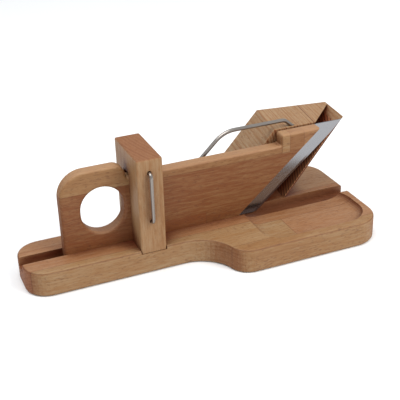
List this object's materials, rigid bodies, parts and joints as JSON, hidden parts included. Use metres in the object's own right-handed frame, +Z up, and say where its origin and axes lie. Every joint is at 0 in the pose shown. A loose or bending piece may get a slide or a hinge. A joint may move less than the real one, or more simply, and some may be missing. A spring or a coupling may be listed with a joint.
{
  "type": "sausage guillotine",
  "caption": "Wooden sausage slicer: a grooved board, a post, a slanted block under a wire arch, and a sliding plank with an angled blade and a finger hole.",
  "frame": {"origin": "middle of the base board's underside, on the table", "axes": "+X along the groove from the handle end to the blade end, +Y from the tray side to the sausage side, +Z up"},
  "size_m": [0.3349, 0.144, 0.1117],
  "materials": {
    "base_wood": "oiled beech staves, satin",
    "post_wood": "oiled beech, growth rings on the end grain",
    "block_wood": "oiled beech, end grain towards the blade",
    "plank_wood": "oiled beech staves, satin",
    "blade_steel": "polished blade with a ground edge",
    "wire_steel": "drawn stainless wire",
    "screw_steel": "bright screw"
  },
  "bodies": {
    "stand": {"base_board": "base_wood", "guide_post": "post_wood", "sausage_block": "block_wood", "wire_arch": "wire_steel", "post_screw_near": "screw_steel", "post_screw_far": "screw_steel", "block_screw_1": "screw_steel", "block_screw_2": "screw_steel", "block_screw_3": "screw_steel"},
    "slider": {"slide_plank": "plank_wood", "blade": "blade_steel", "blade_screw_1": "screw_steel", "blade_screw_2": "screw_steel", "blade_screw_3": "screw_steel"},
    "pin": {"lock_pin": "wire_steel"}
  },
  "joints": [
    {"name": "plank_slide", "type": "slide", "parent": "stand", "child": "slider", "axis": [-1, 0, 0], "range_m": [-0.0017, 0.1281]},
    {"name": "lock_pin_slide", "type": "slide", "parent": "stand", "child": "pin", "axis": [0, -1, 0], "range_m": [0, 0.018]}
  ]
}
